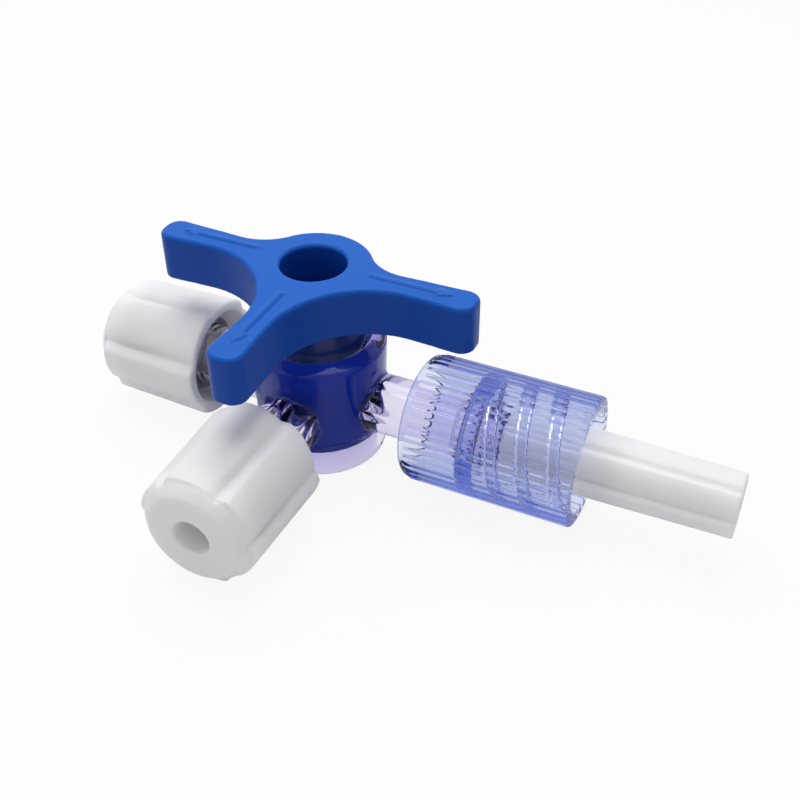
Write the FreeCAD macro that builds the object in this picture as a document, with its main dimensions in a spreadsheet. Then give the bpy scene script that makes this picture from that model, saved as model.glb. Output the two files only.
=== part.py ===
import FreeCAD, Part
import math
import os
import re
import Sketcher
from FreeCAD import Placement, Rotation, Vector

# Three way stopcock with a rotating lock collar, two port caps and a tip cap.
# Frame: origin at the centre of the barrel's foot, on the surface it stands on.
# +Z runs up the plug's axis, +X along the male arm, -Y along the side port.
# All lengths are in millimetres.

doc = FreeCAD.newDocument("three_way_stopcock")
sheet = doc.addObject("Spreadsheet::Sheet", "sizes")

SIZES = {
    # Barrel of the clear body
    "port_height": 5.4,  # height of the three port axes above the foot
    "foot_radius": 5.35,  # outside of the straight band at the foot
    "foot_band": 2.4,  # height of that band
    "barrel_top_radius": 5.6,  # outside of the barrel at its top edge
    "barrel_edge_height": 10.45,  # height of the outer top edge
    "barrel_rim_height": 11.0,  # height of the inner rim, up the sloped top
    "mouth_radius": 4.45,  # inner rim, where the lead-in to the bore starts
    "mouth_depth": 0.8,  # depth of the lead-in
    "foot_edge": 0.25,  # bevel round the foot
    "cut_past": 2.0,  # how far a cut runs on past the face that it opens

    # Plug, which turns in the barrel
    "plug_radius": 3.85,  # outside of the plug
    "running_gap": 0.05,  # radial gap of every turning fit and luer seat
    "plug_foot_height": 1.7,  # underside of the plug above the foot
    "lip_height": 0.8,  # height of the snap lip at the plug's end
    "lip_step": 0.35,  # how far the lip reaches past the plug's seat
    "end_play": 0.05,  # axial gap between the lip and its ledge
    "lip_room": 0.3,  # radial room round the lip in the foot recess
    "channel_radius": 1.1,  # flow channels in plug and ports
    "core_floor": 1.2,  # plastic left between the channels and the cores
    "foot_core_radius": 2.5,  # core in the plug's underside

    # Handle, moulded in one with the plug
    "handle_underside": 13.35,  # underside of the handle
    "handle_thickness": 4.05,  # thickness of the handle
    "hub_radius": 4.65,  # round back of the hub
    "hub_hole_radius": 2.6,  # open core through the hub
    "arm_reach": 13.65,  # axis to the end of an arm
    "arm_half_width": 1.22,  # half width of an arm where the webs end
    "arm_flare": 0.047,  # half width gained for each length, from the webs to the arm's end
    "tip_corner": 1.15,  # rounding of the arm's end corners
    "web_radius": 7.4,  # hollow curve between two arms
    "hub_blend": 4.0,  # curve from the hub's back into an arm
    "handle_edge": 0.2,  # bevel of the handle's top edges
    "arm_count": 3,  # arms of the handle
    "arm_spacing": 90.0,  # angle between neighbouring arms
    "arrow_height": 0.22,  # height of the flow arrows
    "arrow_start": 4.8,  # axis to the tail of an arrow
    "arrow_end_gap": 1.9,  # point of an arrow to the end of its arm
    "arrow_line": 0.2,  # half width of an arrow's shaft
    "arrow_head": 0.6,  # half width of an arrow's head
    "arrow_head_length": 1.3,  # length of an arrow's head

    # Female luer ports
    "port_root_wall": 0.7,  # wall left round the bore where a port starts
    "neck_radius": 2.6,  # outside of a port's neck
    "socket_length": 6.0,  # length of the wide socket behind a port's mouth
    "socket_radius": 3.25,  # outside of the luer socket
    "mouth_reach": 16.8,  # axis to the mouth of a female port
    "lug_radius": 3.9,  # outside of the two locking lugs
    "lug_thickness": 1.1,  # thickness of the lugs along the port
    "lug_inset": 0.1,  # mouth of the port to the lugs
    "luer_mouth_radius": 2.145,  # bore of the socket at its mouth
    "luer_slope": 0.03,  # radius lost for each length of a luer cone
    "luer_depth": 7.6,  # depth of the luer cone in a port

    # Male arm
    "arm_radius": 2.45,  # outside of the male arm
    "stop_radius": 2.8,  # rings before and after the collar's web
    "stop_length": 0.8,  # length of the ring behind the web
    "snap_length": 1.0,  # length of the cone that the collar snaps over
    "luer_tip_radius": 1.985,  # end of the male luer cone
    "luer_tip_past": 2.1,  # how far the cone's end stands past the collar

    # Lock collar
    "collar_start": 9.2,  # axis to the collar's inner end
    "collar_length": 13.95,  # length of the collar
    "collar_radius": 5.05,  # outside of the collar between its ribs
    "collar_bore_radius": 4.0,  # bore of the collar, at the thread's root
    "web_offset": 4.7,  # collar's inner end to its web
    "web_thickness": 1.2,  # thickness of the web that turns on the arm
    "collar_play": 0.1,  # axial gap on each side of the web
    "collar_end_band": 0.7,  # plain band at the collar's inner end
    "collar_edge": 0.3,  # bevel of the collar's inner end
    "rib_count": 36,  # grip ribs round the collar
    "rib_height": 0.2,  # height of a grip rib
    "rib_half_width": 0.19,  # half width of a grip rib at its foot
    "thread_crest_radius": 3.5,  # crest of the internal thread
    "thread_lead": 5.0,  # advance of the double thread in one turn
    "thread_starts": 2,  # starts of the thread
    "thread_turns": 1.4,  # turns of each start
    "thread_crest_width": 0.6,  # width of the thread at its crest
    "thread_root_width": 1.1,  # width of the thread at its root
    "thread_sink": 0.15,  # how far the thread's foot is bedded in the wall
    "collar_turn": -28.0,  # turn of the collar about its axis

    # Caps of the female ports
    "cap_cover": 7.3,  # how far a port cap reaches back over its port
    "cap_end_gap": 0.2,  # gap between the port's mouth and the cap's end wall
    "cap_end_wall": 2.4,  # end wall of a port cap
    "cap_crest_radius": 5.12,  # crest of the grip lobes at the open end
    "cap_valley_radius": 4.75,  # valley between the lobes at the open end
    "cap_taper": 0.05,  # share by which the lobes are smaller where they end
    "cap_end_length": 0.9,  # plain round end past the lobes
    "cap_end_radius": 4.37,  # outside of that end
    "cap_end_bevel": 0.7,  # bevel round that end
    "cap_bore_radius": 4.05,  # bore of a port cap, clear of the lugs
    "cap_plug_length": 4.8,  # how deep the cap's luer plug enters the socket
    "cap_plug_wall": 0.9,  # floor at the end of the hollow plug
    "cap_hole_radius": 1.5,  # hollow of the plug, open at the closed end
    "end_cap_turn": -17.0,  # turn of the end port's cap about its axis
    "side_cap_turn": -7.0,  # turn of the side port's cap about its axis
    "lobe_count": 6,  # grip lobes round a cap
    "lobe_step_angle": 10.0,  # angle taken by the steep side of a lobe

    # Cap of the male tip
    "tip_cap_cover": 8.45,  # how far the tip cap reaches back over the luer cone
    "tip_cap_length": 17.9,  # length of the tip cap
    "tip_crest_radius": 2.9,  # crest of the tip cap's lobes at the open end
    "tip_valley_radius": 2.65,  # valley between those lobes at the open end
    "tip_taper": 0.107,  # share by which the closed end is smaller
    "tip_end_wall": 1.3,  # end wall of the tip cap
    "tip_core_radius": 1.45,  # core beyond the luer cone
    "tip_seat_past": 0.5,  # length of the seat past the cone's end
    "tip_cap_turn": 32.5,  # turn of the tip cap about its axis
}

for row, (alias, number) in enumerate(SIZES.items(), start=1):
    sheet.set(f"A{row}", alias.replace("_", " "))
    sheet.set(f"B{row}", str(number))
    sheet.setAlias(f"B{row}", alias)
doc.recompute()


# Places worked out from the sheet's rows. Each is an expression, so it follows the sheet.
BORE = "plug_radius + running_gap"
LIP_RECESS = f"{BORE} + lip_step + lip_room"
LEDGE = "plug_foot_height + lip_height + end_play"
HANDLE_TOP = "handle_underside + handle_thickness"
ARM_START = "arm_half_width + web_radius"
TIP_HALF_WIDTH = f"arm_half_width + arm_flare * (arm_reach - ({ARM_START}))"
CORE_FLOOR_TOP = "port_height + channel_radius + core_floor"
CORE_FLOOR_FOOT = "port_height - channel_radius - core_floor"
PORT_ROOT = f"{BORE} + port_root_wall"
PORTS = {"end_port": "XZ_Plane", "side_port": "YZ_Plane"}
WEB_START = "collar_start + web_offset"
WEB_END = f"{WEB_START} + web_thickness"
LUER_TIP = "collar_start + collar_length + luer_tip_past"
CAP_INSIDE = "cap_cover + cap_end_gap"
CAP_LENGTH = f"{CAP_INSIDE} + cap_end_wall"
LUER_START = f"{WEB_END} + collar_play + snap_length"
LUER_BASE_RADIUS = f"luer_tip_radius + luer_slope * ({LUER_TIP} - ({LUER_START}))"
THREAD_START = "web_offset + web_thickness"


def value(expression):
    """The number that an expression of the sheet's aliases gives now."""
    result = sheet.evalExpression(str(expression))
    return float(getattr(result, "Value", result))


def bound(expression):
    """The same expression as an object outside the sheet has to write it."""

    def named(word):
        return f"sizes.{word[0]}" if word[0] in SIZES else word[0]

    return re.sub(r"[a-z_]+", named, str(expression))


def new_body(label):
    """A body for one moulded piece; its label names its file."""
    body = doc.addObject("PartDesign::Body", label)
    body.Label = label
    return body


def sketch_on(body, name, role, offset_x=0, offset_y=0, offset_z=0):
    """A sketch on one of the body's own origin planes, shifted in the plane and off it."""
    sketch = body.newObject("Sketcher::SketchObject", name)
    plane = next(feature for feature in body.Origin.OriginFeatures if feature.Role == role)
    sketch.AttachmentSupport = [(plane, "")]
    sketch.MapMode = "FlatFace"
    for axis, offset in zip("xyz", (offset_x, offset_y, offset_z)):
        if offset:
            sketch.setExpression(f"AttachmentOffset.Base.{axis}", bound(offset))
    return sketch


def fix(sketch, kind, geometry, end, expression):
    """Hold one coordinate of a point at the value of an expression."""
    if str(expression) == "0":
        axis = -2 if kind == "DistanceX" else -1
        sketch.addConstraint(Sketcher.Constraint("PointOnObject", geometry, end, axis))
        return
    constraint = Sketcher.Constraint(kind, -1, 1, geometry, end, value(expression))
    index = sketch.addConstraint(constraint)
    sketch.setExpression(f"Constraints[{index}]", bound(expression))


def outline(sketch, corners, curves=None):
    """Draw a closed outline. A curve turns the side that starts at its corner into an arc.

    A curve is (radius, turn): turn is 1 where the arc swings left of the straight side's
    direction, counter-clockwise, and -1 where it swings the other way.
    """
    curves = curves or {}
    points = [Vector(value(x), value(y), 0) for x, y in corners]
    ends = []
    for index, start in enumerate(points):
        finish = points[(index + 1) % len(points)]
        if index not in curves:
            sketch.addGeometry(Part.LineSegment(start, finish))
            ends.append((1, 2))
            continue
        radius, turn = curves[index]
        chord = finish - start
        half = chord.Length / 2
        sagitta = value(radius) - math.sqrt(value(radius) ** 2 - half ** 2)
        outward = Vector(chord.y, -chord.x, 0).normalize() * turn
        middle = (start + finish) / 2 + outward * sagitta
        sketch.addGeometry(Part.Arc(start, middle, finish))
        ends.append((1, 2) if turn > 0 else (2, 1))
    for index in range(len(points)):
        following = (index + 1) % len(points)
        sketch.addConstraint(
            Sketcher.Constraint("Coincident", index, ends[index][1], following, ends[following][0])
        )
    for index, (x, y) in enumerate(corners):
        fix(sketch, "DistanceX", index, ends[index][0], x)
        fix(sketch, "DistanceY", index, ends[index][0], y)
    for index, (radius, _turn) in curves.items():
        constraint = sketch.addConstraint(Sketcher.Constraint("Radius", index, value(radius)))
        sketch.setExpression(f"Constraints[{constraint}]", bound(radius))
    return sketch


def circle(sketch, radius):
    """Draw one circle round the sketch's origin."""
    sketch.addGeometry(Part.Circle(Vector(0, 0, 0), Vector(0, 0, 1), value(radius)))
    sketch.addConstraint(Sketcher.Constraint("Coincident", 0, 3, -1, 1))
    constraint = sketch.addConstraint(Sketcher.Constraint("Radius", 0, value(radius)))
    sketch.setExpression(f"Constraints[{constraint}]", bound(radius))
    return sketch


def turned(body, name, kind, sketch, axis):
    """Revolve a sketch once round one of its own axes, as a solid or as a cut."""
    feature = body.newObject(f"PartDesign::{kind}", name)
    feature.Profile = sketch
    feature.ReferenceAxis = (sketch, [axis])
    feature.Angle = 360
    sketch.Visibility = False
    return feature


def extruded(body, name, kind, sketch, length, reverse=False, both_ways=False):
    """Pad or pocket a sketch by a bound length."""
    feature = body.newObject(f"PartDesign::{kind}", name)
    feature.Profile = sketch
    feature.Length = value(length)
    feature.setExpression("Length", bound(length))
    feature.Reversed = reverse
    feature.Midplane = both_ways
    sketch.Visibility = False
    return feature


def repeated(body, name, original, angle, count):
    """Repeat a feature round the body's Z axis."""
    pattern = body.newObject("PartDesign::PolarPattern", name)
    pattern.Originals = [original]
    axis = next(feature for feature in body.Origin.OriginFeatures if feature.Role == "Z_Axis")
    pattern.Axis = (axis, [""])
    pattern.setExpression("Angle", bound(angle))
    pattern.setExpression("Occurrences", bound(count))
    body.Tip = pattern
    return pattern


def is_near(one, other):
    """True for two lengths that are the same but for rounding."""
    return math.isclose(one, other, abs_tol=Part.Precision.approximation())


def is_upright(edge):
    """True for a straight edge along Z."""
    ends = [vertex.Point for vertex in edge.Vertexes]
    return len(ends) == 2 and is_near(ends[0].x, ends[1].x) and is_near(ends[0].y, ends[1].y)


def lies_at(edge, height):
    """True for an edge that lies level at a height."""
    places = [vertex.Point for vertex in edge.Vertexes] + [edge.CenterOfMass]
    return all(is_near(place.z, height) for place in places)


def rounded(body, name, radius, chosen):
    """Round the edges of the body so far that the given test picks."""
    doc.recompute()
    base = body.Tip
    names = [f"Edge{i + 1}" for i, edge in enumerate(base.Shape.Edges) if chosen(edge)]
    feature = body.newObject("PartDesign::Fillet", name)
    feature.Base = (base, names)
    feature.Radius = value(radius)
    feature.setExpression("Radius", bound(radius))
    return feature


def bevelled(body, name, depth, chosen):
    """Bevel the edges of the body so far that the given test picks."""
    doc.recompute()
    base = body.Tip
    names = [f"Edge{i + 1}" for i, edge in enumerate(base.Shape.Edges) if chosen(edge)]
    feature = body.newObject("PartDesign::Chamfer", name)
    feature.Base = (base, names)
    feature.Size = value(depth)
    feature.setExpression("Size", bound(depth))
    return feature


def lay(body, direction, start, turn="0"):
    """Turn a piece built up Z about itself, lay it along a level direction and set its start."""
    place = direction * value(start) + Vector(0, 0, value("port_height"))
    along = Rotation(Vector(0, 0, 1).cross(direction), 90)
    body.Placement = Placement(place, along * Rotation(Vector(0, 0, 1), value(turn)))


def build_body():
    """The clear moulding: barrel, two female luer ports and the male arm."""
    body = new_body("clear_body")
    wall = outline(
        sketch_on(body, "barrel_section", "XZ_Plane"),
        [
            (LIP_RECESS, 0),
            ("foot_radius - foot_edge", 0),
            ("foot_radius", "foot_edge"),
            ("foot_radius", "foot_band"),
            ("barrel_top_radius", "barrel_edge_height"),
            ("mouth_radius", "barrel_rim_height"),
            (BORE, "barrel_rim_height - mouth_depth"),
            (BORE, LEDGE),
            (LIP_RECESS, LEDGE),
        ],
    )
    turned(body, "barrel", "Revolution", wall, "V_Axis")

    for port, plane in PORTS.items():
        tube = outline(
            sketch_on(body, f"{port}_section", plane, offset_y="port_height"),
            [
                (f"-({PORT_ROOT})", 0),
                (f"-({PORT_ROOT})", "neck_radius"),
                ("-(mouth_reach - socket_length)", "neck_radius"),
                ("-(mouth_reach - socket_length)", "socket_radius"),
                ("-mouth_reach", "socket_radius"),
                ("-mouth_reach", 0),
            ],
        )
        turned(body, f"{port}_tube", "Revolution", tube, "H_Axis")

    arm = outline(
        sketch_on(body, "male_arm_section", "XZ_Plane", offset_y="port_height"),
        [
            (PORT_ROOT, 0),
            (PORT_ROOT, "arm_radius"),
            (f"{WEB_START} - collar_play - stop_length", "arm_radius"),
            (f"{WEB_START} - collar_play - stop_length", "stop_radius"),
            (f"{WEB_START} - collar_play", "stop_radius"),
            (f"{WEB_START} - collar_play", "arm_radius"),
            (f"{WEB_END} + collar_play", "arm_radius"),
            (f"{WEB_END} + collar_play", "stop_radius"),
            (f"{WEB_END} + collar_play + snap_length", LUER_BASE_RADIUS),
            (LUER_TIP, "luer_tip_radius"),
            (LUER_TIP, 0),
        ],
    )
    turned(body, "male_arm", "Revolution", arm, "H_Axis")

    for port, plane, depth in (("end_port", "YZ_Plane", 1), ("side_port", "XZ_Plane", -1)):
        offset = f"{-depth} * (mouth_reach - lug_inset)"
        lugs = sketch_on(body, f"{port}_lug_section", plane, offset_y="port_height", offset_z=offset)
        half = "sqrt(lug_radius ^ 2 - socket_radius ^ 2)"
        outline(
            lugs,
            [
                (f"-{half}", "-socket_radius"),
                (half, "-socket_radius"),
                (half, "socket_radius"),
                (f"-{half}", "socket_radius"),
            ],
            {1: ("lug_radius", 1), 3: ("lug_radius", 1)},
        )
        extruded(body, f"{port}_lugs", "Pad", lugs, "lug_thickness", reverse=depth < 0)

    for port, plane in PORTS.items():
        socket = outline(
            sketch_on(body, f"{port}_socket_section", plane, offset_y="port_height"),
            [
                (f"-({BORE}) / 2", 0),
                (f"-({BORE}) / 2", "channel_radius"),
                ("-(mouth_reach - luer_depth)", "channel_radius"),
                ("-(mouth_reach - luer_depth)", "luer_mouth_radius - luer_slope * luer_depth"),
                ("-mouth_reach", "luer_mouth_radius"),
                ("-(mouth_reach + cut_past)", "luer_mouth_radius"),
                ("-(mouth_reach + cut_past)", 0),
            ],
        )
        turned(body, f"{port}_socket", "Groove", socket, "H_Axis")

    lumen = circle(
        sketch_on(body, "male_lumen_section", "YZ_Plane", offset_y="port_height"), "channel_radius"
    )
    extruded(body, "male_lumen", "Pocket", lumen, f"{LUER_TIP} + cut_past", reverse=True)
    return body


def build_handle():
    """The blue moulding: a three-armed handle and the plug that turns in the barrel."""
    body = new_body("handle_plug")
    blend_x = "sqrt((hub_radius + hub_blend) ^ 2 - (arm_half_width + hub_blend) ^ 2)"
    hub_x = f"hub_radius * {blend_x} / (hub_radius + hub_blend)"
    hub_y = "hub_radius * (arm_half_width + hub_blend) / (hub_radius + hub_blend)"
    plan = outline(
        sketch_on(body, "handle_plan", "XY_Plane", offset_z="handle_underside"),
        [
            ("arm_reach", f"-({TIP_HALF_WIDTH})"),
            ("arm_reach", TIP_HALF_WIDTH),
            (blend_x, "arm_half_width"),
            (hub_x, hub_y),
            (f"-{hub_x}", hub_y),
            (f"-{blend_x}", "arm_half_width"),
            ("-arm_reach", TIP_HALF_WIDTH),
            ("-arm_reach", f"-({TIP_HALF_WIDTH})"),
            (f"-({ARM_START})", "-arm_half_width"),
            ("-arm_half_width", f"-({ARM_START})"),
            (f"-({TIP_HALF_WIDTH})", "-arm_reach"),
            (TIP_HALF_WIDTH, "-arm_reach"),
            ("arm_half_width", f"-({ARM_START})"),
            (ARM_START, "-arm_half_width"),
        ],
        {
            2: ("hub_blend", -1),
            3: ("hub_radius", 1),
            4: ("hub_blend", -1),
            8: ("web_radius", -1),
            12: ("web_radius", -1),
        },
    )
    extruded(body, "handle", "Pad", plan, "handle_thickness")
    end = value("arm_reach")
    top = value(HANDLE_TOP)

    def at_arm_end(edge):
        centre = edge.CenterOfMass
        return is_upright(edge) and is_near(max(abs(centre.x), abs(centre.y)), end)

    rounded(body, "arm_ends", "tip_corner", at_arm_end)
    bevelled(body, "top_edges", "handle_edge", lambda edge: lies_at(edge, top))

    lip = "plug_radius + lip_step"
    plug = outline(
        sketch_on(body, "plug_section", "XZ_Plane"),
        [
            (0, "plug_foot_height"),
            ("plug_radius", "plug_foot_height"),
            (lip, "plug_foot_height + lip_height / 2"),
            (lip, "plug_foot_height + lip_height"),
            ("plug_radius", "plug_foot_height + lip_height"),
            ("plug_radius", "handle_underside + handle_edge"),
            (0, "handle_underside + handle_edge"),
        ],
    )
    turned(body, "plug", "Revolution", plug, "V_Axis")

    core = outline(
        sketch_on(body, "hub_core_section", "XZ_Plane"),
        [
            (0, CORE_FLOOR_TOP),
            ("hub_hole_radius", CORE_FLOOR_TOP),
            ("hub_hole_radius", f"{HANDLE_TOP} - handle_edge"),
            ("hub_hole_radius + handle_edge", HANDLE_TOP),
            ("hub_hole_radius + handle_edge", f"{HANDLE_TOP} + cut_past"),
            (0, f"{HANDLE_TOP} + cut_past"),
        ],
    )
    turned(body, "hub_core", "Groove", core, "V_Axis")

    foot_core = outline(
        sketch_on(body, "foot_core_section", "XZ_Plane"),
        [
            (0, 0),
            ("foot_core_radius", 0),
            ("foot_core_radius", CORE_FLOOR_FOOT),
            (0, CORE_FLOOR_FOOT),
        ],
    )
    turned(body, "foot_core", "Groove", foot_core, "V_Axis")

    across = sketch_on(body, "straight_channel_section", "YZ_Plane", offset_y="port_height")
    circle(across, "channel_radius")
    through = "2 * (plug_radius + cut_past)"
    extruded(body, "straight_channel", "Pocket", across, through, both_ways=True)
    branch = sketch_on(body, "branch_channel_section", "XZ_Plane", offset_y="port_height")
    circle(branch, "channel_radius")
    extruded(body, "branch_channel", "Pocket", branch, "plug_radius + cut_past", reverse=True)

    head = "-(arm_reach - arrow_end_gap - arrow_head_length)"
    arrow_sketch = outline(
        sketch_on(body, "arrow_section", "XY_Plane", offset_z=f"{HANDLE_TOP} - arrow_height"),
        [
            ("-arrow_start", "-arrow_line"),
            ("-arrow_start", "arrow_line"),
            (head, "arrow_line"),
            (head, "arrow_head"),
            ("-(arm_reach - arrow_end_gap)", 0),
            (head, "-arrow_head"),
            (head, "-arrow_line"),
        ],
    )
    arrow = extruded(body, "arrow", "Pad", arrow_sketch, "2 * arrow_height")
    repeated(body, "arrows", arrow, "arm_spacing * (arm_count - 1)", "arm_count")
    return body


def build_collar():
    """The clear collar, built along Z from its inner end, then laid along the male arm."""
    body = new_body("lock_collar")
    section = outline(
        sketch_on(body, "collar_section", "XZ_Plane"),
        [
            ("collar_bore_radius", 0),
            ("collar_radius - collar_edge", 0),
            ("collar_radius", "collar_edge"),
            ("collar_radius", "collar_length"),
            ("collar_bore_radius", "collar_length"),
            ("collar_bore_radius", "web_offset + web_thickness"),
            ("arm_radius + running_gap", "web_offset + web_thickness"),
            ("arm_radius + running_gap", "web_offset"),
            ("collar_bore_radius", "web_offset"),
        ],
    )
    turned(body, "collar_wall", "Revolution", section, "V_Axis")

    rib = outline(
        sketch_on(body, "rib_section", "XY_Plane", offset_z="collar_end_band"),
        [
            ("collar_radius - rib_height", "-rib_half_width"),
            ("collar_radius", "-rib_half_width"),
            ("collar_radius + rib_height", 0),
            ("collar_radius", "rib_half_width"),
            ("collar_radius - rib_height", "rib_half_width"),
        ],
    )
    ridge = extruded(body, "rib", "Pad", rib, "collar_length - collar_end_band")
    repeated(body, "ribs", ridge, "360", "rib_count")

    thread = outline(
        sketch_on(body, "thread_section", "XZ_Plane"),
        [
            ("thread_crest_radius", f"{THREAD_START} - thread_crest_width / 2"),
            ("collar_bore_radius + thread_sink", f"{THREAD_START} - thread_root_width / 2"),
            ("collar_bore_radius + thread_sink", f"{THREAD_START} + thread_root_width / 2"),
            ("thread_crest_radius", f"{THREAD_START} + thread_crest_width / 2"),
        ],
    )
    helix = body.newObject("PartDesign::AdditiveHelix", "thread")
    helix.Profile = thread
    helix.ReferenceAxis = (thread, ["V_Axis"])
    helix.Mode = "pitch-turns-angle"
    helix.setExpression("Pitch", bound("thread_lead"))
    helix.setExpression("Turns", bound("thread_turns"))
    thread.Visibility = False
    repeated(body, "threads", helix, "360", "thread_starts")
    lay(body, Vector(1, 0, 0), "collar_start", "collar_turn")
    return body


def lobed_ring(sketch, crest, valley, steep_side):
    """Ratchet-like grip lobes, each a slow curve with a steep step beside its crest.

    The step is on the counter-clockwise side of the crest where steep_side is 1, and on the
    clockwise side where it is -1.
    """
    count = int(value("lobe_count"))
    corners = []
    curves = {}
    for lobe in range(count):
        peak = f"(360 * {lobe} / {count})"
        foot = f"(360 * {lobe} / {count} + {steep_side} * lobe_step_angle)"
        step = [
            (f"({crest}) * cos{peak}", f"({crest}) * sin{peak}"),
            (f"({valley}) * cos{foot}", f"({valley}) * sin{foot}"),
        ]
        corners.extend(step[::steep_side])
        curves[2 * lobe + 1] = (crest, 1)
    return outline(sketch, corners, curves)


def lobed_block(body, name, length, crest, valley, taper, steep_side):
    """A block with grip lobes, whose closed end is its open end made smaller by the taper."""
    open_end = sketch_on(body, f"{name}_open_end", "XY_Plane")
    closed_end = sketch_on(body, f"{name}_closed_end", "XY_Plane", offset_z=length)
    wide = lobed_ring(open_end, crest, valley, steep_side)
    narrow = lobed_ring(
        closed_end, f"{crest} * (1 - {taper})", f"{valley} * (1 - {taper})", steep_side
    )
    block = body.newObject("PartDesign::AdditiveLoft", name)
    block.Profile = wide
    block.Sections = [narrow]
    block.Ruled = True
    wide.Visibility = False
    narrow.Visibility = False
    return block


def build_port_cap(label, direction, turn):
    """A cap of a female port, built along Z from its open end, then laid along its port."""
    body = new_body(label)
    lobes = f"{CAP_LENGTH} - cap_end_length"
    lobed_block(
        body, "grip", lobes, "cap_crest_radius", "cap_valley_radius", "cap_taper", steep_side=1
    )
    closed_end = outline(
        sketch_on(body, "closed_end_section", "XZ_Plane"),
        [
            (0, CAP_INSIDE),
            ("cap_end_radius", CAP_INSIDE),
            ("cap_end_radius", f"{CAP_LENGTH} - cap_end_bevel"),
            ("cap_end_radius - cap_end_bevel", CAP_LENGTH),
            (0, CAP_LENGTH),
        ],
    )
    turned(body, "closed_end", "Revolution", closed_end, "V_Axis")
    seat = "luer_mouth_radius - running_gap"
    plug_end = f"{CAP_INSIDE} - cap_plug_length"
    inside = outline(
        sketch_on(body, "bore_section", "XZ_Plane"),
        [
            (0, "-cut_past"),
            ("cap_bore_radius", "-cut_past"),
            ("cap_bore_radius", CAP_INSIDE),
            (seat, CAP_INSIDE),
            (f"{seat} - luer_slope * cap_plug_length", plug_end),
            (0, plug_end),
        ],
    )
    turned(body, "bore", "Groove", inside, "V_Axis")
    hollow = outline(
        sketch_on(body, "hollow_section", "XZ_Plane"),
        [
            (0, f"{plug_end} + cap_plug_wall"),
            ("cap_hole_radius", f"{plug_end} + cap_plug_wall"),
            ("cap_hole_radius", f"{CAP_LENGTH} + cut_past"),
            (0, f"{CAP_LENGTH} + cut_past"),
        ],
    )
    turned(body, "hollow", "Groove", hollow, "V_Axis")
    lay(body, direction, "mouth_reach - cap_cover", turn)
    return body


def build_tip_cap():
    """The cap pushed on the male luer cone, built along Z, then laid along the male arm."""
    body = new_body("tip_cap")
    length = "tip_cap_length"
    lobed_block(
        body, "grip", length, "tip_crest_radius", "tip_valley_radius", "tip_taper", steep_side=-1
    )
    seat_end = "tip_cap_cover + tip_seat_past"
    mouth = "luer_tip_radius + running_gap + luer_slope * tip_cap_cover"
    seat_end_radius = "luer_tip_radius + running_gap"
    inside = outline(
        sketch_on(body, "seat_section", "XZ_Plane"),
        [
            (0, "-cut_past"),
            (mouth, "-cut_past"),
            (mouth, 0),
            (seat_end_radius, "tip_cap_cover"),
            (seat_end_radius, seat_end),
            ("tip_core_radius", seat_end),
            ("tip_core_radius", "tip_cap_length - tip_end_wall"),
            (0, "tip_cap_length - tip_end_wall"),
        ],
    )
    turned(body, "seat", "Groove", inside, "V_Axis")
    lay(body, Vector(1, 0, 0), f"{LUER_TIP} - tip_cap_cover", "tip_cap_turn")
    return body


def check(objects):
    """Stop with a plain message if any object failed or any solid is unsound."""
    for item in doc.Objects:
        if "Invalid" in item.State or "Error" in item.State:
            raise RuntimeError(f"{item.Label} failed: {item.State}")
    for item in objects:
        shape = item.Shape
        if shape.isNull() or not shape.isValid() or len(shape.Solids) != 1:
            raise RuntimeError(f"{item.Label} is not one sound solid")


pieces = [
    build_body(),
    build_handle(),
    build_collar(),
    build_port_cap("end_port_cap", Vector(-1, 0, 0), "end_cap_turn"),
    build_port_cap("side_port_cap", Vector(0, -1, 0), "side_cap_turn"),
    build_tip_cap(),
]
doc.recompute()
check(pieces)

os.makedirs("parts", exist_ok=True)
for piece in pieces:
    piece.Shape.exportStep(f"parts/{piece.Label}.step")
    box = piece.Shape.BoundBox
    print(f"{piece.Label}: {piece.Shape.Volume:.1f} mm3, X {box.XMin:.2f} to {box.XMax:.2f}, "
          f"Y {box.YMin:.2f} to {box.YMax:.2f}, Z {box.ZMin:.2f} to {box.ZMax:.2f}")
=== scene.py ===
# %% [markdown]
# # A three way stopcock in clear, blue and white plastic
# The real object joins three fluid lines and is thrown away after use. It has a clear body, a
# blue handle whose plug turns in it, a clear lock collar and three white caps.
# The solids imported from model.glb are in metres. They could be shown as they come, but their
# edges are as sharp as a knife. They are never moved or changed here. Each one gets a softer
# copy that stands in for it.

import math
import bpy
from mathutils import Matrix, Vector


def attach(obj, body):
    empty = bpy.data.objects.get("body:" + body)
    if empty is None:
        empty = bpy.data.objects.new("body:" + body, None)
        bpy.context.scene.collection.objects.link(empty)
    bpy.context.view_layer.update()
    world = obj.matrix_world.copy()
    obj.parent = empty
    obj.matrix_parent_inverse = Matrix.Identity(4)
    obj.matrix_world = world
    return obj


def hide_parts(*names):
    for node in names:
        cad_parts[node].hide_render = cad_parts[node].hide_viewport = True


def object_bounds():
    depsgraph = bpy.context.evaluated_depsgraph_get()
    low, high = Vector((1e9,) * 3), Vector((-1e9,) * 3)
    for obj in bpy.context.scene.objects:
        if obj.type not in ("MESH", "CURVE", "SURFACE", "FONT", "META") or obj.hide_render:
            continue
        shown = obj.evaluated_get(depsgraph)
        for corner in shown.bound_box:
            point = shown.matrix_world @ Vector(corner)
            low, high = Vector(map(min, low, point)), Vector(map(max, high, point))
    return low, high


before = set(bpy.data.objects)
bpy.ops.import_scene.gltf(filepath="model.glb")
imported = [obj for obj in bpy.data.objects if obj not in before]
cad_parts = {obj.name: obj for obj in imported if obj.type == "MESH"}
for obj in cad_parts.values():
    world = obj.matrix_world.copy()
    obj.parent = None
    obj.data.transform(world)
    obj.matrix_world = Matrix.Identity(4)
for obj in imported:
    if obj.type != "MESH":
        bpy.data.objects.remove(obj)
cad_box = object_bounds()
MM = 0.001
print("nodes:", sorted(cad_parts))

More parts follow.
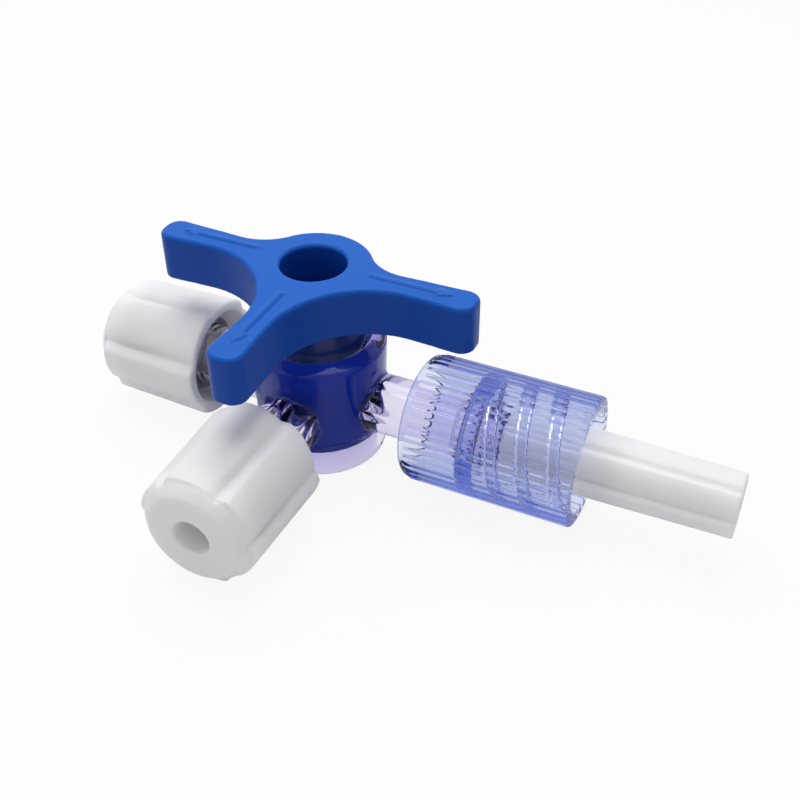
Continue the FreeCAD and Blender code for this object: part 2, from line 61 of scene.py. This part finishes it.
# %% [markdown]
# ## Shader maths
# A finish is a tree of nodes, which could be built one node and one link at a time. The small
# class below wraps one output socket instead, so that a sum or a product of patterns is
# written as plain maths. Its node method adds any other node.


# %% A socket that can be reckoned with
class Wire:
    """One output socket of a material's node tree."""

    def __init__(self, tree, socket=None):
        self.tree = tree
        self.socket = socket

    def node(self, kind, settings=None, sockets=None, output=0):
        """Add a node: its settings first, then the values or links of its sockets."""
        made = self.tree.nodes.new(kind)
        for name, setting in (settings or {}).items():
            setattr(made, name, setting)
        for name, given in (sockets or {}).items():
            if isinstance(given, Wire):
                self.tree.links.new(given.socket, made.inputs[name])
            else:
                made.inputs[name].default_value = given
        return Wire(self.tree, made.outputs[output])

    def maths(self, operation, first, second):
        return self.node("ShaderNodeMath", {"operation": operation}, {0: first, 1: second})

    def __add__(self, other):
        return self.maths("ADD", self, other)

    def __mul__(self, other):
        return self.maths("MULTIPLY", self, other)

    __radd__ = __add__
    __rmul__ = __mul__


# %% [markdown]
# ## Helpers for a finish
# Each plastic is one Principled shader. Values that are the same all over go straight on its
# sockets, where an export can read them. What varies, such as a faint cloudiness, is linked in
# afterwards. All patterns read Object coordinates, so they move with their piece.


# %% Start a plastic and feed its sockets
def plastic(name, **constants):
    """A new material, its Principled shader and a Wire to build patterns with."""
    material = bpy.data.materials.new(name)
    material.use_nodes = True
    shader = material.node_tree.nodes["Principled BSDF"]
    for socket, constant in constants.items():
        shader.inputs[socket.replace("_", " ")].default_value = constant
    return material, shader, Wire(material.node_tree)


def feed(shader, socket, wire):
    wire.tree.links.new(wire.socket, shader.inputs[socket])


# %% Patterns, dents and mixed colours
def cloud(wire, size):
    """Soft noise whose blotches are about the given size, from 0 to 1 over the piece."""
    place = wire.node("ShaderNodeTexCoord", output="Object")
    return wire.node(
        "ShaderNodeTexNoise",
        sockets={"Vector": place, "Scale": 1 / size, "Detail": 2.0, "Roughness": 0.5},
    )


def bump(wire, height, depth):
    return wire.node(
        "ShaderNodeBump", sockets={"Height": height, "Distance": depth, "Strength": 1.0}
    )


def blend(wire, factor, first, second):
    """A colour between two colours, by a factor that varies."""
    return wire.node(
        "ShaderNodeMix",
        {"data_type": "RGBA"},
        {"Factor": factor, "A": (*first, 1.0), "B": (*second, 1.0)},
        output="Result",
    )


# %% [markdown]
# ## Blue polyethylene
# The handle is moulded in a softer plastic than the body, so its shine is satin. The mould
# leaves a fine grain on it, and the melt leaves faint clouds in its colour. One blue all over
# came out too light on the sides, which are a deeper blue in the photograph than plain light
# makes them. So two blues are mixed by how far the surface looks up: the lighter blue on faces
# that look up is painted light, and the deeper blue on the sides is painted shade.

# %% Blue finish
BLUE = (0.008, 0.120, 0.56)
# The deeper blue below is painted shade for the sides of the handle.
BLUE_SIDE_SHADE = (0.004, 0.062, 0.38)
BLUE_CLOUD = 3 * MM
BLUE_GRAIN = 0.12 * MM
BLUE_GRAIN_DEPTH = 0.004 * MM

blue, blue_shader, wire = plastic("blue_polyethylene", IOR=1.5, Specular_IOR_Level=0.14)
clouds = cloud(wire, BLUE_CLOUD)
grain = cloud(wire, BLUE_GRAIN)
# Painted light and shade: the blue is lighter where the surface looks up and deeper on the
# sides.
facing = wire.node("ShaderNodeTexCoord", output="Normal")
upward = wire.node("ShaderNodeSeparateXYZ", sockets={0: facing}, output="Z")
painted_top_light = (0.75 + 0.5 * clouds) * wire.maths("MAXIMUM", upward, 0.0)
feed(blue_shader, "Base Color", blend(wire, painted_top_light, BLUE_SIDE_SHADE, BLUE))
feed(blue_shader, "Roughness", 0.30 + 0.12 * clouds)
feed(blue_shader, "Normal", bump(wire, grain, BLUE_GRAIN_DEPTH))

# %% [markdown]
# The plug below the handle is the same plastic, polished to seal, and shaded by the handle and
# the barrel. It looks nearly black where it rises out of the barrel. That shade is painted: the
# plug gets a much deeper blue of its own and a smoother shine, instead of being left to the
# lamps.

# %% Blue of the plug, darkened as painted shade
# Both blues of the plug are painted shade.
PLUG_SHADE_BLUE = (0.003, 0.026, 0.17)
PLUG_SHADE_BLUE_DEEP = (0.002, 0.018, 0.13)

blue_plug, plug_shader, wire = plastic("blue_plug_painted_shade", IOR=1.5, Specular_IOR_Level=0.3)
clouds = cloud(wire, BLUE_CLOUD)
feed(plug_shader, "Base Color", blend(wire, clouds, PLUG_SHADE_BLUE_DEEP, PLUG_SHADE_BLUE))
feed(plug_shader, "Roughness", 0.18 + 0.1 * clouds)
print("blue finishes:", blue.name, blue_plug.name)

# %% [markdown]
# ## White polypropylene
# The caps look opaque, but light sinks a little way into them and comes out again beside the
# place where it went in, which softens their shadows and edges. A plain diffuse white would
# look like chalk, so the shader scatters its light under the surface.

# %% White finish
WHITE = (0.91, 0.905, 0.92)
WHITE_DULL = (0.87, 0.865, 0.885)
WHITE_CLOUD = 2.5 * MM
WHITE_GRAIN = 0.15 * MM
WHITE_GRAIN_DEPTH = 0.005 * MM

white, white_shader, wire = plastic(
    "white_polypropylene",
    IOR=1.49,
    Subsurface_Weight=1.0,
    Subsurface_Radius=(1.0, 0.97, 0.95),
    Subsurface_Scale=1.2 * MM,
)
clouds = cloud(wire, WHITE_CLOUD)
grain = cloud(wire, WHITE_GRAIN)
feed(white_shader, "Base Color", blend(wire, clouds, WHITE_DULL, WHITE))
feed(white_shader, "Roughness", 0.38 + 0.15 * clouds)
feed(white_shader, "Normal", bump(wire, grain, WHITE_GRAIN_DEPTH))
print("white finish:", white.name)

# %% [markdown]
# ## Clear polycarbonate
# The body and the collar are clear with a tint. A tint painted on the surface would be as
# strong in a thin wall as in a thick one. Here the shader is almost colourless, and a Volume
# Absorption takes light away along its way through the plastic, so thick places are deeper.
# That alone left the band round the barrel's foot too pale, so the recess inside it gets a
# darker skin that holds back more light: painted shade in the recess.


# %% Clear finish
CLEAR_SKIN = (0.99, 0.99, 1.0)
CLEAR_CLOUD = 2 * MM
CLEAR_RIPPLE = 0.9 * MM
GLOSS_TINT = (0.3, 0.3, 0.45, 1.0)


def clear_plastic(name, kept, loss, bend, wave, skin=CLEAR_SKIN):
    """Clear plastic that keeps a colour and loses the rest, by a loss for each metre."""
    dull_skin = tuple(0.95 * part for part in skin)
    material, shader, wire = plastic(
        name, IOR=bend, Transmission_Weight=1.0, Specular_Tint=GLOSS_TINT
    )
    clouds = cloud(wire, CLEAR_CLOUD)
    ripples = cloud(wire, CLEAR_RIPPLE)
    feed(shader, "Base Color", blend(wire, clouds, dull_skin, skin))
    feed(shader, "Roughness", 0.01 + 0.04 * clouds)
    feed(shader, "Normal", bump(wire, ripples, wave))
    depth = wire.node(
        "ShaderNodeVolumeAbsorption", sockets={"Color": (*kept, 1.0), "Density": loss}
    )
    wire.tree.links.new(depth.socket, wire.tree.nodes["Material Output"].inputs["Volume"])
    return material


# %% Clear finishes of the body, the painted shade of its foot recess and the collar
BODY_KEEPS = (0.40, 0.27, 0.80)
BODY_LOSS = 115
BODY_BEND = 1.585
BODY_WAVE = 0.004 * MM
# The darker skin of the foot's recess is painted shade.
FOOT_RECESS_SHADE_SKIN = (0.42, 0.40, 0.68)
COLLAR_KEEPS = (0.13, 0.27, 0.78)
COLLAR_LOSS = 280
COLLAR_BEND = 1.3
COLLAR_WAVE = 0.005 * MM

clear = clear_plastic("clear_body_plastic", BODY_KEEPS, BODY_LOSS, BODY_BEND, BODY_WAVE)
foot_recess_shade = clear_plastic(
    "foot_recess_painted_shade", BODY_KEEPS, BODY_LOSS, BODY_BEND, BODY_WAVE, skin=FOOT_RECESS_SHADE_SKIN
)
clear_blue = clear_plastic(
    "clear_collar_plastic", COLLAR_KEEPS, COLLAR_LOSS, COLLAR_BEND, COLLAR_WAVE
)
print("clear finishes:", clear.name, foot_recess_shade.name, clear_blue.name)

# %% [markdown]
# ## The plug seen through the wall
# The plug is pressed into the barrel so tightly that no air is left between them. Light that
# comes through the clear wall then meets the blue plastic at once, and the bore looks blue
# right up to its edges. The solids have a running gap there, and its air would mirror the
# light away. So the bore's wall in the clear piece takes the blue itself.

# %% Wet contact between plug and bore
CONTACT_BLUE = (0.006, 0.044, 0.50)
CONTACT_BLUE_DEEP = (0.004, 0.034, 0.42)
CONTACT_CLOUD = 2 * MM

contact, contact_shader, wire = plastic(
    "plug_behind_clear_wall", IOR=1.5, Specular_IOR_Level=0.1
)
clouds = cloud(wire, CONTACT_CLOUD)
feed(contact_shader, "Base Color", blend(wire, clouds, CONTACT_BLUE_DEEP, CONTACT_BLUE))
feed(contact_shader, "Roughness", 0.35 + 0.1 * clouds)
print("contact finish:", contact.name)

# %% [markdown]
# ## Soft copies of the moulded pieces
# A mould never leaves a knife edge, and clear plastic shows every corner as a bright or dark
# line. A Bevel modifier would round each edge by itself, and it fails where many edges meet.
# A Remesh modifier lays one even skin of small squares over the whole solid instead, and a
# Smooth modifier then melts its corners into each other, as the melt does in the mould.

# %% Copy a solid
MERGE_DISTANCE = 0.002 * MM


def copied(node, name):
    """A copy of a node's solid with its loose triangles merged."""
    bpy.ops.object.select_all(action="DESELECT")
    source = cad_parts[node]
    copy = source.copy()
    copy.data = source.data.copy()
    copy.name = name
    copy.data.name = name
    for key in list(copy.keys()):
        del copy[key]
    copy.parent = None
    bpy.context.scene.collection.objects.link(copy)
    copy.select_set(True)
    bpy.context.view_layer.objects.active = copy
    bpy.ops.object.mode_set(mode="EDIT")
    bpy.ops.mesh.select_all(action="SELECT")
    bpy.ops.mesh.remove_doubles(threshold=MERGE_DISTANCE)
    bpy.ops.mesh.select_all(action="DESELECT")
    bpy.ops.object.mode_set(mode="OBJECT")
    return copy


# %% Melt its edges
def melted(piece, grain, passes):
    """Give a copy an even skin of squares of a size, smoothed a number of times."""
    skin = piece.modifiers.new("skin", "REMESH")
    skin.mode = "VOXEL"
    skin.voxel_size = grain
    soften = piece.modifiers.new("soften", "SMOOTH")
    soften.factor = 0.5
    soften.iterations = passes
    for modifier in (skin, soften):
        bpy.ops.object.modifier_apply(modifier=modifier.name)
    bpy.ops.object.shade_smooth()
    print(piece.name, "has", len(piece.data.polygons), "faces")
    return piece


# %% Give it its finish and its place
def dress(piece, *materials):
    piece.data.materials.clear()
    for material in materials:
        piece.data.materials.append(material)


def stand_for(piece, node, body):
    """Let a finished piece ride on a body in place of a node."""
    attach(piece, body)
    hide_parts(node)


# %% [markdown]
# ## Handle with its plug
# The handle, its raised arrows and its plug are one moulding, so they stay one piece with two
# finishes: its blue, and a deeper blue on the plug that is painted shade. Two passes of
# smoothing round its edges and still leave the low arrows crisp. Each face of the outer wall of
# the plug is found by its distance from the axis and its height.

# %% Handle with its plug
CORE_RADIUS = 3.4 * MM
PLUG_RADIUS = 3.85 * MM
PLUG_TOP = 13.3 * MM

handle = melted(copied("handle_plug", "handle_and_plug"), grain=0.12 * MM, passes=2)
dress(handle, blue, blue_plug)
# Faces of the plug below the handle get the deeper blue that is painted shade.
for face in handle.data.polygons:
    middle = face.center
    on_plug = CORE_RADIUS < math.hypot(middle.x, middle.y) < PLUG_RADIUS + 0.1 * MM
    face.material_index = int(on_plug and middle.z < PLUG_TOP)
stand_for(handle, "handle_plug", "handle")

# %% [markdown]
# ## Caps
# The lobes of a cap rise slowly and fall in a steep step, at whose foot runs a groove. The
# melting takes some of the groove away. Finer squares would keep it but make a heavy mesh, so
# it is pressed in again along each foot, deeper towards the closed end.

# %% Press the grooves of a cap
LOBES = 6
LOBE_STEP = 360 / LOBES
PORT_HEIGHT = 5.4 * MM
REACH_BEFORE_FOOT = 6.0
REACH_PAST_FOOT = 3.0


def press_grooves(cap, along, first_foot, side, skin_radius, depths, span):
    """Press a groove at the foot of each lobe's step, on the skin outside a radius.

    Angles and reaches are in degrees. The depth changes along the span from the cap's mouth
    to its closed end.
    """
    across = 1 - along
    for corner in cap.data.vertices:
        place = corner.co
        sideways, up = place[across], place.z - PORT_HEIGHT
        radius = math.hypot(sideways, up)
        share = (place[along] - span[0]) / (span[1] - span[0])
        if radius < skin_radius or not -0.05 < share < 1.02:
            continue
        angle = math.degrees(math.atan2(up, sideways))
        turned = (angle - first_foot + LOBE_STEP / 2) % LOBE_STEP
        past = side * (turned - LOBE_STEP / 2)
        reach = REACH_PAST_FOOT if past > 0 else REACH_BEFORE_FOOT
        depth = depths[0] + (depths[1] - depths[0]) * min(max(share, 0), 1)
        shrink = 1 - depth * math.exp(-(past / reach) ** 2) / radius
        place[across] = sideways * shrink
        place.z = PORT_HEIGHT + up * shrink


# %% [markdown]
# The closed end of a port cap has a hole. In the solid it goes deep, because the plug inside
# the cap is hollow there. In the photograph it looks like a shallow dimple. So its floor is
# selected by its place and moved towards the closed end in edit mode.

# %% Bring the floor of a cap's hole nearer to its face
HOLE_FLOOR = -13.1 * MM
HOLE_RISE = -3.8 * MM
HOLE_RADIUS = 1.5 * MM
SLACK = 0.02 * MM


def make_shallow(cap, along):
    across = 1 - along
    for corner in cap.data.vertices:
        place = corner.co
        near_axis = math.hypot(place[across], place.z - PORT_HEIGHT) < HOLE_RADIUS + SLACK
        corner.select = near_axis and abs(place[along] - HOLE_FLOOR) < SLACK
    move = [0.0, 0.0, 0.0]
    move[along] = HOLE_RISE
    bpy.ops.object.mode_set(mode="EDIT")
    bpy.ops.transform.translate(value=move)
    bpy.ops.object.mode_set(mode="OBJECT")


# %% [markdown]
# The two port caps are one moulding on two ports. They are copied from their own solids, and
# not from each other, because their lobes stand at different angles.

# %% Port caps
for node, rider, along, first_foot, side in (
    ("end_port_cap", "end_cap", 0, 37, 1),
    ("side_port_cap", "side_cap", 1, 3, -1),
):
    cap = copied(node, node + "_moulding")
    make_shallow(cap, along)
    melted(cap, grain=0.12 * MM, passes=8)
    press_grooves(
        cap,
        along,
        first_foot,
        side,
        skin_radius=4.28 * MM,
        depths=(0.10 * MM, 0.26 * MM),
        span=(-9.5 * MM, -18.5 * MM),
    )
    dress(cap, white)
    stand_for(cap, node, rider)

# %% Tip cap
cap = melted(copied("tip_cap", "tip_cap_moulding"), grain=0.1 * MM, passes=5)
press_grooves(
    cap,
    along=0,
    first_foot=52.5,
    side=1,
    skin_radius=2.2 * MM,
    depths=(0.08 * MM, 0.14 * MM),
    span=(16.8 * MM, 34.7 * MM),
)
dress(cap, white)
stand_for(cap, "tip_cap", "tip_cap")

# %% [markdown]
# ## Collar
# The collar has fine ribs to grip outside and a double thread inside. Both are in the solid,
# so the copy only needs its edges eased. Two passes do that, and more would wash the ribs out.

# %% Collar
collar = melted(copied("lock_collar", "ribbed_lock_collar"), grain=0.12 * MM, passes=2)
dress(collar, clear_blue)
stand_for(collar, "lock_collar", "collar")

# %% [markdown]
# ## Body
# The body is the barrel, two ports and the male arm in one clear moulding. Three finishes share
# it: clear plastic, the plug's blue on the bore's wall, and a darker skin in the foot's recess
# that is painted shade. A face is given one by its distance from the axis, its height and where
# it looks.

# %% Body
BORE_RADIUS = 3.9 * MM
BORE_TOP = 10.2 * MM
BORE_FOOT = 2.55 * MM
RECESS_RADIUS = 4.5 * MM
RECESS_TOP = 2.3 * MM
FOOT_RADIUS = 5.4 * MM
CLEAR, CONTACT, RECESS_SHADE = range(3)

body = melted(copied("clear_body", "clear_housing"), grain=0.16 * MM, passes=5)
dress(body, clear, contact, foot_recess_shade)
touched = 0
for face in body.data.polygons:
    middle = face.center
    radius = math.hypot(middle.x, middle.y)
    outward = (middle.x * face.normal.x + middle.y * face.normal.y) / radius
    by_bore = abs(radius - BORE_RADIUS) < 0.07 * MM and BORE_FOOT < middle.z < BORE_TOP
    by_foot = RECESS_RADIUS - 0.2 * MM < radius < FOOT_RADIUS and middle.z < RECESS_TOP
    if by_bore:
        face.material_index = CONTACT
        touched += 1
    # Faces in the foot's recess that look inward get the darker skin that is painted shade.
    elif by_foot and outward < 0.2:
        face.material_index = RECESS_SHADE
    else:
        face.material_index = CLEAR
stand_for(body, "clear_body", "body")
print("faces of the bore's wall in blue:", touched)

# %% [markdown]
# ## Floor
# The stopcock lies on a white sheet. More light would make the sheet white but would bleach
# the object too. So where the camera or a clear piece looks at the sheet, it glows by itself
# with most of its white, and the rest is lit as usual and keeps the shadow. A glossy surface
# sees less of that glow.

# %% Floor
bpy.ops.object.select_all(action="DESELECT")
bpy.ops.mesh.primitive_plane_add(size=4.0, location=(0, 0, -0.03 * MM))
floor = bpy.context.object
floor.name = "floor_sheet"


def looked_at(wire, in_gloss):
    """1 where a ray comes from the camera or through clear plastic, less where from a gloss."""
    direct = wire.node("ShaderNodeLightPath", output="Is Camera Ray")
    mirrored = wire.node("ShaderNodeLightPath", output="Is Glossy Ray")
    through = wire.node("ShaderNodeLightPath", output="Is Transmission Ray")
    return wire.maths("MAXIMUM", wire.maths("MAXIMUM", direct, in_gloss * mirrored), through)


# %% Finish of the floor
SHEET_GLOW = 0.9
GLOSS_OF_SHEET = 0.3
SHEET_SEEN = (0.9, 0.9, 0.9)
SHEET_UNSEEN = (0.85, 0.85, 0.85)

sheet = bpy.data.materials.new("white_sheet")
sheet.use_nodes = True
sheet.node_tree.nodes.clear()
wire = Wire(sheet.node_tree)
seen = looked_at(wire, GLOSS_OF_SHEET)
sheet_colour = blend(wire, seen, SHEET_UNSEEN, SHEET_SEEN)
lit = wire.node("ShaderNodeBsdfDiffuse", sockets={"Color": sheet_colour})
glow = wire.node("ShaderNodeEmission", sockets={"Color": (1, 1, 1, 1), "Strength": 1.0})
mixed = wire.node("ShaderNodeMixShader", sockets={0: SHEET_GLOW * seen, 1: lit, 2: glow})
under = wire.node("ShaderNodeNewGeometry", output="Backfacing")
open_below = wire.node("ShaderNodeBsdfTransparent")
surface = wire.node("ShaderNodeMixShader", sockets={0: under, 1: mixed, 2: open_below})
end = sheet.node_tree.nodes.new("ShaderNodeOutputMaterial")
sheet.node_tree.links.new(surface.socket, end.inputs["Surface"])
floor.data.materials.append(sheet)
print("floor finish:", sheet.name)

# %% [markdown]
# ## Light
# The tent round the object is white where it is looked at, mirrored or seen through clear
# plastic, and dimmer where it lights the object. A wide soft box above gives the soft shadow,
# and a weak one in front lifts the sides that face the camera.

# %% World
AMBIENT = 0.4
world = bpy.data.worlds.new("white_tent")
bpy.context.scene.world = world
world.use_nodes = True
world.node_tree.nodes.clear()
wire = Wire(world.node_tree)
white_light = {"Color": (1, 1, 1, 1)}
tent = wire.node("ShaderNodeBackground", sockets={**white_light, "Strength": AMBIENT})
white_tent = wire.node("ShaderNodeBackground", sockets={**white_light, "Strength": 1.0})
surface = wire.node(
    "ShaderNodeMixShader", sockets={0: looked_at(wire, 1.0), 1: tent, 2: white_tent}
)
end = world.node_tree.nodes.new("ShaderNodeOutputWorld")
world.node_tree.links.new(surface.socket, end.inputs["Surface"])
print("strength of the tent's light:", AMBIENT)


# %% Lamps
def soft_box(name, offset, width, power):
    """A square area lamp at an offset from the object's middle, turned to face it."""
    lamp = bpy.data.lights.new(name, "AREA")
    lamp.shape = "SQUARE"
    lamp.size = width
    lamp.energy = power
    stand = bpy.data.objects.new(name, lamp)
    bpy.context.scene.collection.objects.link(stand)
    stand.location = middle + Vector(offset)
    stand.rotation_euler = (middle - stand.location).to_track_quat("-Z", "Y").to_euler()
    print(name, "stands", round(Vector(offset).length, 3), "m away")


middle = (Vector(cad_box[0]) + Vector(cad_box[1])) / 2
soft_box("overhead", (-0.03, 0.05, 0.20), width=0.20, power=0.33)
soft_box("front_left", (-0.16, -0.14, 0.10), width=0.12, power=0.03)

# %% [markdown]
# ## Camera
# The camera looks down on the stopcock from the front, about 37 degrees above the table. It is
# placed by two angles and a distance from the point that it aims at, which are easier to judge
# than a position. The small shift frames the object in the picture.

# %% Camera
LENS = 49.54
AIM = Vector((7.05, 3.21, 7.885)) * MM
AZIMUTH = math.radians(24.491)
ELEVATION = math.radians(36.854)
DISTANCE = 90.31 * MM

camera = bpy.data.objects.new("camera", bpy.data.cameras.new("camera"))
bpy.context.scene.collection.objects.link(camera)
bpy.context.scene.camera = camera
back = Vector((
    math.sin(AZIMUTH) * math.cos(ELEVATION),
    -math.cos(AZIMUTH) * math.cos(ELEVATION),
    math.sin(ELEVATION),
))
camera.location = AIM + back * DISTANCE
camera.rotation_euler = (-back).to_track_quat("-Z", "Y").to_euler()
camera.data.lens = LENS
camera.data.sensor_width = 36
camera.data.shift_x = -0.0175
camera.data.shift_y = -0.0488
camera.data.clip_start = 0.005
camera.data.clip_end = 10
print("camera is", round(DISTANCE / MM, 1), "mm from its aim")

bpy.context.scene.view_settings.view_transform = "Standard"
